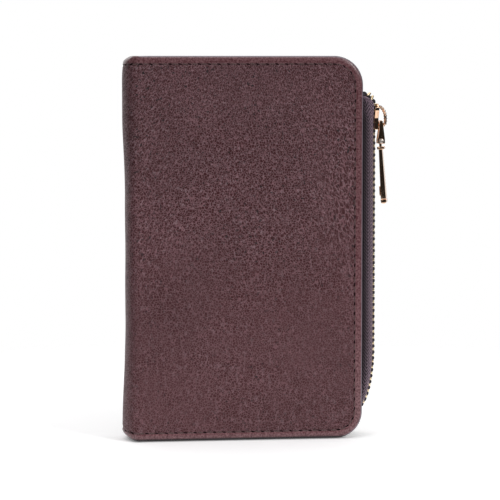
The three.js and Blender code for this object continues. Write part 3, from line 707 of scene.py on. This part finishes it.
MATERIAL = {
    "hide": cover_hide("cover_hide"),
    "inner": plain_hide("inner_hide", srgb(98, 70, 74), srgb(66, 38, 42)),
    "lining": twill("lining_twill", srgb(84, 62, 68), srgb(48, 34, 38), 0.0009),
    "board": cardboard("board_fibre"),
    "thread": waxed_thread("seam_thread", srgb(96, 66, 64), srgb(52, 30, 31)),
    "hole": painted_hole_shade("stitch_hole_shade"),
    "tape": herringbone("zip_tape_weave", srgb(160, 132, 150), srgb(10, 6, 10)),
    "cord": herringbone("zip_cord_weave", srgb(44, 34, 42), srgb(16, 11, 15)),
    "teeth": polished("teeth_gold", srgb(244, 226, 190), 0.22, srgb(196, 146, 98)),
    "gold": polished("slider_gold", srgb(250, 214, 182), 0.1, srgb(204, 140, 104)),
    # The crown's patches go almost to black-brown: a painted dark reflection over its beaded bar.
    "copper": polished("crown_copper", srgb(244, 214, 190), 0.16, srgb(44, 24, 18), 1.0, 560.0),
    "nickel": polished("pin_nickel", srgb(238, 230, 224), 0.34, srgb(190, 176, 166)),
    "floor": soft_floor("studio_floor"),
}


# ---------------- covers


def cover(name, node, thread_node, body, side, seed, crown):
    outline = Outline(FOLD_X, FREE_X, 0, TOP_Z, LOW_RADIUS, HIGH_RADIUS)
    lift = sewn_lift(crown, seed)
    skin = panel(name, outline, side * HALF, side, HIDE, MATERIAL["hide"], lift)
    settle(skin, body, node)
    surface = surface_of(outline, side * HALF, side, lift)
    thread = stitch_row(name + "_stitches", outline.seam(SEAM), surface, body, side)
    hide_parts(thread_node)


def spine_point(turn, z, depth=0.0):
    """A point of the fold's outer face: turn goes from -90 degrees at the front to 90 at the rear. The fold
    is drawn in along its middle and pinched at both ends."""
    waist = 1.35 * smooth(2, 48, z) * smooth(24, 58, TOP_Z - z) - 0.1 * smooth(30, 8, z)
    waist = waist + 0.35 * smooth(96, 130, z)
    pinch = 3.0 * np.clip(1 - z / 3.6, 0, 1) ** 2 + 2.8 * np.clip(1 - (TOP_Z - z) / 2.6, 0, 1) ** 2
    bulge = BULGE - depth
    bulge = bulge - (waist + pinch + 0.5 * smooth(9, 0, TOP_Z - z)) * np.cos(turn)
    x = FOLD_X - bulge * np.cos(turn)
    return x, (HALF - depth) * np.sin(turn)


def spine_ends(x, low, high):
    """The lower and upper edge of the fold at x: its corners are softly crushed."""
    left = FOLD_X - BULGE
    near_low, near_high = np.clip((x - left) / 6.6, 0, 1), np.clip((x - left) / 3.2, 0, 1)
    dip = 1.4 * (1 - np.sqrt(1 - (1 - near_low) ** 2))
    drop = 0.6 * (1 - np.sqrt(1 - (1 - near_high) ** 2)) + 0.35 * smooth(BULGE, 0, x - left)
    return low + dip, high - drop


def spine_shell(name, low, high, depth, thickness, material, grooved):
    """One layer of the fold, depth inside its outer face. The grooved one is the hide."""
    columns = np.radians(np.linspace(-90, 90, 61))
    rows = (spaced(low, high, 1.6) - low) / (high - low)
    turn = np.repeat(columns[None, :], len(rows), axis=0)
    share = np.repeat(rows[:, None], len(columns), axis=1)
    z = low + (high - low) * share
    x, _ = spine_point(turn, z, depth)
    bottom, top = spine_ends(x, low, high)
    z = bottom + (top - bottom) * share
    inset = np.minimum(z - bottom, top - z)
    x, y = spine_point(turn, z, depth)
    points = np.stack([x, y, z], axis=-1)
    lift = -round_edge(inset, min(0.9, thickness * 0.5))
    if grooved:
        border = turned_edge(inset) * smooth(0, 0.4, np.cos(turn))
        lift = lift + border + groove(inset) + waves(points, 14, 0.12, 5) * smooth(2, 9, inset) * np.cos(turn)
    normal = np.stack([-np.cos(turn), np.sin(turn), 0 * turn], axis=-1)
    outer = points + normal * lift[..., None]
    inner = points - normal * (thickness - round_edge(inset, 0.3))[..., None]
    verts, faces = two_faced(outer[:, ::-1], inner[:, ::-1])
    obj = piece(name, verts, faces, material, 60)
    attribute(obj, "inset", np.tile(inset[:, ::-1].ravel() + 0.4, 2) / 10)
    if grooved:
        steps = np.hypot(np.diff(x, axis=1), np.diff(y, axis=1))
        run = np.concatenate([np.zeros((len(x), 1)), np.cumsum(steps, axis=1)], axis=1)
        grain_field(obj, np.stack([FOLD_X - run, z], axis=-1)[:, ::-1], 0)
    return obj


def flatten_with_fold(obj):
    """Gives the piece its own copy of its mesh."""
    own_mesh(obj)


def spine():
    skin = spine_shell("spine_skin", 0, TOP_Z, 0, HIDE, MATERIAL["hide"], True)
    settle(skin, "spine", "spine_leather")
    flatten_with_fold(skin)
    low, high = box_mm("spine_lining")
    cloth = spine_shell("spine_cloth", low.z, high.z, HIDE + 0.1, 0.5, MATERIAL["lining"], False)
    settle(cloth, "spine", "spine_lining")
    flatten_with_fold(cloth)
    spine_stitches("bottom", False)
    spine_stitches("top", True)


def spine_seam(at_top, steps):
    """Points along a stitch line round the fold, each with the way out of the hide."""
    points = []
    for i in range(steps + 1):
        turn = math.radians(-90 + 180 * i / steps)
        x, _ = spine_point(turn, TOP_Z if at_top else 0.0)
        bottom, top = spine_ends(np.array([x]), 0, TOP_Z)
        z = float(top[0]) - SEAM if at_top else float(bottom[0]) + SEAM
        x, y = spine_point(turn, z)
        normal = Vector((-math.cos(turn), math.sin(turn), 0))
        points.append((Vector((x, y, z)) - normal * 0.2, normal))
    return points


def spine_stitches(name, at_top):
    parts = [], []
    steps = 400
    points = spine_seam(at_top, steps)
    lengths = [0.0]
    for (a, _), (b, _) in zip(points, points[1:]):
        lengths.append(lengths[-1] + (b - a).length)
    count = int(lengths[-1] / STITCH)
    for k in range(2 * count):
        distance = (k + 0.5) * lengths[-1] / count / 2
        i = min(int(np.searchsorted(lengths, distance)), steps)
        point, normal = points[i]
        along = (points[min(i + 1, steps)][0] - points[max(i - 1, 0)][0]).normalized()
        across = normal.cross(along)
        turn = Matrix.Rotation(math.radians(30 if k % 2 else 7) * (1 if at_top else -1), 3, "Z")
        add_stitch(parts, k, Matrix((along, across, normal)).transposed() @ turn, point, normal)
    for obj in stitch_pieces("spine_stitches_" + name, parts, "spine"):
        flatten_with_fold(obj)


# ---------------- inner layers


def inner_layer(
    node, body, side, slot, low_radius, high_radius, seed, height=0.05, crease=False, stitched=False
):
    """A soft sheet in place of a flat CAD layer. It faces side * Y."""
    low, high = box_mm(node)
    outline = Outline(low.x, high.x, low.z, high.z, low_radius, high_radius)
    face = low.y if side < 0 else high.y
    thickness = high.y - low.y
    lift = layer_lift(height, seed, outline.high if crease else None)
    material = MATERIAL["inner" if slot == "inner_leather" else "lining"]
    obj = panel(node + "_soft", outline, face, side, thickness, material, lift, thickness * 0.5, 2.4)
    settle(obj, body, node)
    if stitched:
        surface = surface_of(outline, face, side, lift)
        stitch_row(node + "_stitches", outline.seam(SEAM - 0.9), surface, body, side)


def front_leaf_inside():
    r_low, r_high = LOW_RADIUS - 0.9, HIGH_RADIUS - 0.9
    inner_layer("front_lining", "front_leaf", 1, "lining", r_low, r_high, 21)
    inner_layer("card_panel", "front_leaf", 1, "inner_leather", r_low, r_high, 22)
    for number in range(4, 0, -1):
        node = f"card_pocket_{number}"
        inner_layer(node, "front_leaf", 1, "inner_leather", r_low, 0.4, 22 + number, 0.04, True, number == 1)


def soft_copy(node, body, material, bevel):
    """The CAD node's own shape with its edges rounded and its faces softened."""
    bm = bmesh.new()
    bm.from_mesh(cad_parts[node].data)
    bmesh.ops.remove_doubles(bm, verts=bm.verts, dist=1e-6)
    bmesh.ops.dissolve_limit(bm, angle_limit=0.02, verts=bm.verts, edges=bm.edges)
    bmesh.ops.scale(bm, vec=(1000, 1000, 1000), verts=bm.verts)
    part = rounded(bm, bevel, 2)
    obj = piece(node + "_soft", *part, material)
    attribute(obj, "inset", [1.0] * len(obj.data.vertices))
    settle(obj, body, node)


def pouch():
    r_low, r_high = LOW_RADIUS - 1.5, HIGH_RADIUS - 1.5
    inner_layer("pouch_front_panel", "rear_half", -1, "inner_leather", r_low, r_high, 41, 0.08)
    inner_layer("note_pocket", "rear_half", -1, "inner_leather", r_low, 0.4, 42, 0.06, True, True)
    inner_layer("pouch_lining_front", "rear_half", 1, "lining", 0.6, 0.6, 43)
    inner_layer("pouch_lining_rear", "rear_half", -1, "lining", 0.6, 0.6, 44)
    soft_copy("pouch_side_wall", "rear_half", MATERIAL["inner"], 0.25)
    for end in ("bottom", "top"):
        soft_copy(f"pouch_gusset_{end}", "rear_half", MATERIAL["lining"], 0.12)


# ---------------- zip


ROWS_FROM, ROWS_TO = CHAIN.z - 2, CHAIN.z + 4.8  # the rows part inside the slider
PARTING, ABOVE = 1.95, 0.7  # by this much there, and by this much more above it
CORD_OUT = 1.98  # from the chain's middle to the middle of a cord, where the chain is closed
STRAIGHT_LOW, STRAIGHT_HIGH = 36.0, 137.4  # between these heights the chain is straight
LOW_BEND, LOW_DROP = 6.7, 25  # below them it curves in under the cover by this much, over this height
HIGH_BEND, HIGH_RISE = 6.5, {-1: 3.7, 1: 5.3}  # and above them, where the rows differ
TAPE_FLAT = {-1: box_mm("zip_tape_front"), 1: box_mm("zip_tape_rear")}
TOOTH_PITCH = 2.5


def row_line(side):
    """The middle line of one row's cord, bottom to top, and how far it has parted from the middle."""
    points, steps = [], 26

    def add(x, z):
        parting = PARTING * smooth(ROWS_FROM, ROWS_TO, z) + ABOVE * smooth(ROWS_TO, ROWS_TO + 4, z)
        points.append(Vector((x, CHAIN.y + side * (CORD_OUT + float(parting)), z)))

    for i in range(steps):
        turn = math.radians(76 * (1 - i / steps))
        add(CHAIN.x - LOW_BEND * (1 - math.cos(turn)), STRAIGHT_LOW - LOW_DROP * math.sin(turn))
    for i in range(101):
        add(CHAIN.x, STRAIGHT_LOW + (STRAIGHT_HIGH - STRAIGHT_LOW) * i / 100)
    for i in range(1, steps + 1):
        turn = math.radians(84 * i / steps)
        add(CHAIN.x - HIGH_BEND * (1 - math.cos(turn)), STRAIGHT_HIGH + HIGH_RISE[side] * math.sin(turn))
    return points


def places_along(points, first, pitch):
    """Frames at an even pitch along a line: local z along it, local y along Y."""
    places, passed, target = [], 0.0, first
    for a, b in zip(points, points[1:]):
        step = (b - a).length
        while target <= passed + step:
            along = Vector((b.x - a.x, 0, b.z - a.z)).normalized()
            across = Vector((0, 1, 0))
            place = Matrix((across.cross(along), across, along)).transposed().to_4x4()
            place.translation = a.lerp(b, (target - passed) / step)
            places.append(place)
            target += pitch
        passed += step
    return places


def tooth(side):
    """A metal tooth: jaws closed round the cord, a neck, and a head with a nib on top."""
    jaw = prism([(-0.75, -0.48), (0.7, -0.48), (0.7, 0.48), (-0.75, 0.48)], -0.95, 0.95, 0.2)
    neck = prism([(0.5, -0.5), (1.5, -0.42), (1.5, 0.42), (0.5, 0.5)], -1.0, 1.0, 0.12)
    head = prism([(1.25, -0.48), (2.3, -0.5), (2.55, 0), (2.3, 0.5), (1.25, 0.48)], -1.1, 1.1, 0.16)
    nib = prism([(1.55, 0.3), (2.15, 0.3), (2.1, 0.68), (1.6, 0.68)], -0.55, 0.55, 0.12)
    verts, faces = joined([jaw, neck, head, nib])
    if side > 0:
        verts = [Vector((v.x, -v.y, v.z)) for v in verts]
        faces = [face[::-1] for face in faces]
    return verts, faces


def teeth(side):
    """One row of teeth, splayed where the zip is open, on a cord that swells between them."""
    name = "front" if side < 0 else "rear"
    points = row_line(side)
    first = 2 if side < 0 else 2 + TOOTH_PITCH / 2
    places = places_along(points, first, TOOTH_PITCH)
    one = tooth(side)
    for place in places:
        splay = math.radians(30) * float(smooth(ROWS_TO + 1, STRAIGHT_HIGH + 2, place.translation.z))
        place @= Matrix.Rotation(side * splay, 4, "Z")
    row = piece(f"teeth_{name}", *joined([moved(one, place) for place in places[:-1]]), MATERIAL["teeth"], 50)
    settle(row, "rear_half", f"zip_teeth_{name}")
    lengths = np.concatenate([[0], np.cumsum([(b - a).length for a, b in zip(points, points[1:])])])
    dense = np.arange(0, lengths[-1], 0.16)
    line = [Vector([np.interp(d, lengths, [p[k] for p in points]) for k in range(3)]) for d in dense]
    swell = np.abs(np.sin(math.pi * (dense - first) / TOOTH_PITCH)) ** 0.8
    cord = piece(f"cord_{name}", *tube(line, (0.45 + 0.78 * swell).tolist(), 12, 0.55), MATERIAL["cord"])
    attribute(cord, "across", [0.3] * len(cord.data.vertices))
    settle(cord, "rear_half")


def tape(side):
    """One half of the tape: it curves from its cord round to its seam on the pouch."""
    name = "front" if side < 0 else "rear"
    low, high = TAPE_FLAT[side]
    seam_y = high.y - 0.25 if side > 0 else low.y + 0.25
    seam_out = abs(seam_y - CHAIN.y)
    bend_x, seam_x = FREE_X - 1, FREE_X - 7
    rows, spans = [], []
    for cord in row_line(side):
        start = abs(cord.y - CHAIN.y) + 0.45
        bend = min(bend_x, cord.x - 1)
        tip = cord.x - 0.1
        row = []
        for i in range(15):
            turn = math.pi / 2 * i / 14
            out = start + max(0.0, seam_out + 0.5 - start) * math.sin(min(turn * 1.35, math.pi / 2))
            out -= 1.5 * smooth(0.55, 1.0, i / 14)
            row.append((bend + (tip - bend) * math.cos(turn), CHAIN.y + side * out, cord.z))
        for i in range(1, 5):
            row.append((bend + (seam_x - bend) * i / 4, row[14][1] + (seam_y - row[14][1]) * i / 4, cord.z))
        row = np.array(row)
        steps = np.linalg.norm(np.diff(row, axis=0), axis=1)
        rows.append(row)
        spans.append(np.concatenate([[0], np.cumsum(steps)]))
    grid, across = np.array(rows), np.array(spans)
    ripple = waves(grid, 7, 0.16, 7 + side) * smooth(0.5, 3, across) * smooth(0, 4, across[:, -1:] - across)
    along = np.gradient(grid, axis=0)
    sideways = np.gradient(grid, axis=1)
    normal = np.cross(along, sideways)
    normal /= np.linalg.norm(normal, axis=-1, keepdims=True)
    normal *= np.sign(side * normal[..., 1:2].mean())
    outer = grid + normal * (0.25 + ripple)[..., None]
    inner = grid - normal * (0.25 - ripple)[..., None]
    if side < 0:
        outer, inner = outer[:, ::-1], inner[:, ::-1]
        across = across[:, ::-1]
    obj = piece(f"tape_{name}", *two_faced(outer, inner), MATERIAL["tape"], 60)
    attribute(obj, "across", np.tile(across.ravel(), 2))
    settle(obj, "rear_half", f"zip_tape_{name}")


def stops():
    for node in ("zip_top_stop_front", "zip_top_stop_rear", "zip_bottom_stop"):
        soft_copy(node, "rear_half", MATERIAL["teeth"], 0.3)


# ---------------- slider and puller


# The slider's outline on one side, (y, z) from its centre: narrow below, flared above.
PLATE_SIDE = [(3.6, -5.4), (3.6, -0.6), (5.3, 2.6), (5.3, 3.8), (4.4, 4.9), (3, 5.4)]


def plate_shape(shrink):
    right = [(y - shrink, z) for y, z in PLATE_SIDE]
    return right + [(-y, z) for y, z in reversed(right)]


def metal_piece(name, parts, place, body, node, metal="gold"):
    verts, faces = joined(parts)
    verts = [v + place for v in verts]
    obj = piece(name, verts, faces, MATERIAL[metal], 35)
    settle(obj, body, node)


def slider():
    edge = PLATE_SIDE[:4]
    flange = [*edge, *[(y - 0.7, z) for y, z in reversed(edge)]]
    parts = [
        prism(plate_shape(0), 1.45, 2.25, 0.25),
        prism(plate_shape(0.9), -2.25, -1.45, 0.25),
        prism(flange, 0.5, 1.7, 0.2),
        prism([(-y, z) for y, z in flange], 0.5, 1.7, 0.2),
        prism([(-0.15, 1), (0.15, 1), (0.15, 4.9), (-0.15, 4.9)], -1.65, 1.65, 0.05),
    ]
    metal_piece("slider_plates", parts, CHAIN, "slider", "slider_body")


def bridge():
    """The crown over the slider: a beaded bar bent into a D."""
    foot, top, low, high = 2.1, 5.7, -4.0, 4.1
    path, corner = [(foot, low), (foot + 0.4, low)], 1.9
    for i in range(9):
        turn = math.radians(-90 + 90 * i / 8)
        path.append((top - corner + corner * math.cos(turn), low + corner + corner * math.sin(turn)))
    reach, rise = 3.1, 4.8
    for i in range(13):
        turn = math.radians(90 * i / 12)
        path.append((top - reach + reach * math.cos(turn), high - rise + rise * math.sin(turn)))
    path += [(foot + 0.4, high), (foot, high)]
    dense, lengths = [], [0.0]
    for (ax, az), (bx, bz) in zip(path, path[1:]):
        count = max(1, int(math.hypot(bx - ax, bz - az) / 0.12))
        dense += [(ax + (bx - ax) * k / count, az + (bz - az) * k / count) for k in range(count)]
    dense.append(path[-1])
    for (ax, az), (bx, bz) in zip(dense, dense[1:]):
        lengths.append(lengths[-1] + math.hypot(bx - ax, bz - az))
    bead_pitch = lengths[-1] / 12
    radii = [0.42 + 0.32 * abs(math.sin(math.pi * s / bead_pitch)) ** 0.6 for s in lengths]
    bar = tube([(x, 0, z) for x, z in dense], radii, 16, 1.55)
    half = 0.85
    feet = []
    for z in (low, high):
        foot_shape = [(-1, z - half), (1, z - half), (1, z + half), (-1, z + half)]
        feet.append(prism(foot_shape, 2.27, 2.7, 0.12))
    metal_piece("slider_crown", [bar, *feet], CHAIN, "slider", "slider_bridge", "copper")


def link():
    """Two legs from the crown down to the pin, and the pin with its heads."""
    drop = LINK_BAR.z - PIN.z
    leg = [
        (-0.6, 0.5), (0.55, 0.5), (0.75, -0.6), (1.6, -drop + 0.6), (1.6, -drop - 1.1),
        (-1.4, -drop - 1.1), (-1.4, -drop + 0.6), (-0.75, -3),
    ]
    parts = [prism(leg, 1.25, 2.15, 0.16, "y"), prism(leg, -2.15, -1.25, 0.16, "y")]
    parts.append(disc(0.6, -2.1, 2.1, 0.05))
    metal_piece("puller_link", parts, LINK_BAR, "pull_link", "pull_link")
    parts = [disc(0.6, -2.3, 2.3, 0.05)]
    parts += [disc(0.95, 2.27, 2.75, 0.3), disc(0.95, -2.75, -2.27, 0.3)]
    parts += [disc(0.5, 2.6, 2.85, 0.1), disc(0.5, -2.85, -2.6, 0.1)]
    metal_piece("puller_pin", parts, PIN, "pull_link", "pull_pin", "nickel")


def leaf():
    """The long blade, tilted a little away from the chain as it hangs from the pin."""
    length = 26.0
    top = -3.2
    half_width = 3.1
    blade_shape = [(0.7, top), (-0.68, top), (-0.85, -length + 1.9), (1.3, -length + 1.9)]
    blade = prism(blade_shape, -half_width, half_width, 0.2, "y")
    tip_shape = [
        (-0.95, -length + 1.75), (1.42, -length + 1.75), (1.35, -length + 0.4),
        (0.85, -length), (-0.4, -length), (-0.85, -length + 0.4),
    ]
    tip = prism(tip_shape, -half_width, half_width, 0.22, "y")
    pad_shape = [(-1.45, -length + 3.2), (-0.6, -length + 3.2), (-0.6, -length + 7.2), (-1.45, -length + 7.2)]
    pad = prism(pad_shape, -1.5, 1.5, 0.25, "y")

    def tapered(part):
        verts = [Vector((v.x, v.y * (0.68 + 0.32 * smooth(top, -length, v.z)), v.z)) for v in part[0]]
        return verts, part[1]

    knuckle = disc(1.1, -0.85, 0.85, 0.15)
    neck = prism([(-0.5, -3.6), (0.5, -3.6), (0.5, 0), (-0.5, 0)], -1.0, 1.0, 0.12, "y")
    collar = prism([(-1.35, -3.45), (1.65, -3.45), (1.65, -2.3), (-1.35, -2.3)], -2.3, 2.3, 0.25, "y")
    lean, twist = math.radians(-3.4), math.radians(-16)
    tilt = Matrix.Rotation(lean, 4, "Y") @ Matrix.Rotation(twist, 4, "Z")
    blade_parts = [moved(p, tilt) for p in (tapered(blade), tapered(tip), pad, knuckle, neck)]
    metal_piece("puller_leaf", blade_parts, PIN, "pull_leaf", "pull_leaf")
    metal_piece("puller_collar", [moved(collar, tilt)], PIN, "pull_leaf", "pull_collar")


# ---------------- studio


def area_light(name, place, target, size, power):
    light = bpy.data.lights.new(name, "AREA")
    light.shape = "RECTANGLE"
    light.size, light.size_y = size
    light.energy = power
    obj = bpy.data.objects.new(name, light)
    obj.location = place
    obj.rotation_euler = (Vector(target) - Vector(place)).to_track_quat("-Z", "Y").to_euler()
    bpy.context.scene.collection.objects.link(obj)


def studio():
    """A round white floor, a white world bright above and behind, and two soft lamps in front."""
    reach = 350
    rim = [(reach * math.cos(math.pi * k / 32), reach * math.sin(math.pi * k / 32), 0) for k in range(64)]
    floor = piece("floor", rim, [range(64)], MATERIAL["floor"])
    floor.location.z = -0.0004
    n = Nodes("studio", bpy.data.worlds)
    direction = n.axes(n.add("ShaderNodeTexCoord"))
    behind = n.between(direction[1], 0.6, 0.95, 0.02, 1.0)
    above = n.between(direction[2], 0.55, 0.85, 0.0, 1.5)
    seen = n.add("ShaderNodeLightPath")  # 1 where the camera itself sees the world
    strength = n.math("MAXIMUM", n.math("MAXIMUM", behind, above), seen)
    bpy.context.scene.world = n.finish("Background", Color=(1, 1, 1, 1), Strength=strength)
    area_light("key_right", (0.8, -0.95, 0.75), (0.02, 0, 0.08), (0.35, 0.5), 7.5)
    area_light("key_left", (-0.7, -0.9, 0.9), (0, 0, 0.08), (0.3, 0.4), 3.0)


def camera():
    scene = bpy.context.scene
    scene.view_settings.view_transform = "Standard"
    data = bpy.data.cameras.new("camera")
    data.sensor_width = 36
    data.lens = 174.4
    data.clip_end = 20
    obj = bpy.data.objects.new("camera", data)
    turn, distance = math.radians(-7.2), 1.0
    eye_height = 0.158
    obj.location = (distance * math.sin(turn), -distance * math.cos(turn), eye_height)
    target = Vector((-0.0024, 0.0, 0.0775))
    obj.rotation_euler = (target - obj.location).to_track_quat("-Z", "Y").to_euler()
    scene.collection.objects.link(obj)
    scene.camera = obj


def cad_materials():
    """Materials for the CAD nodes that stay as they are."""
    for node in ("front_board", "rear_board"):
        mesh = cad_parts[node].data
        mesh.materials.clear()
        mesh.materials.append(MATERIAL["board"])


camera()
studio()
cad_materials()
cover("front_skin", "front_cover_leather", "front_cover_thread", "front_leaf", -1, 1, 0.7)
cover("rear_skin", "rear_cover_leather", "rear_cover_thread", "rear_half", 1, 2, 0.4)
spine()
front_leaf_inside()
pouch()
for row in (-1, 1):
    teeth(row)
    tape(row)
stops()
slider()
bridge()
link()
leaf()
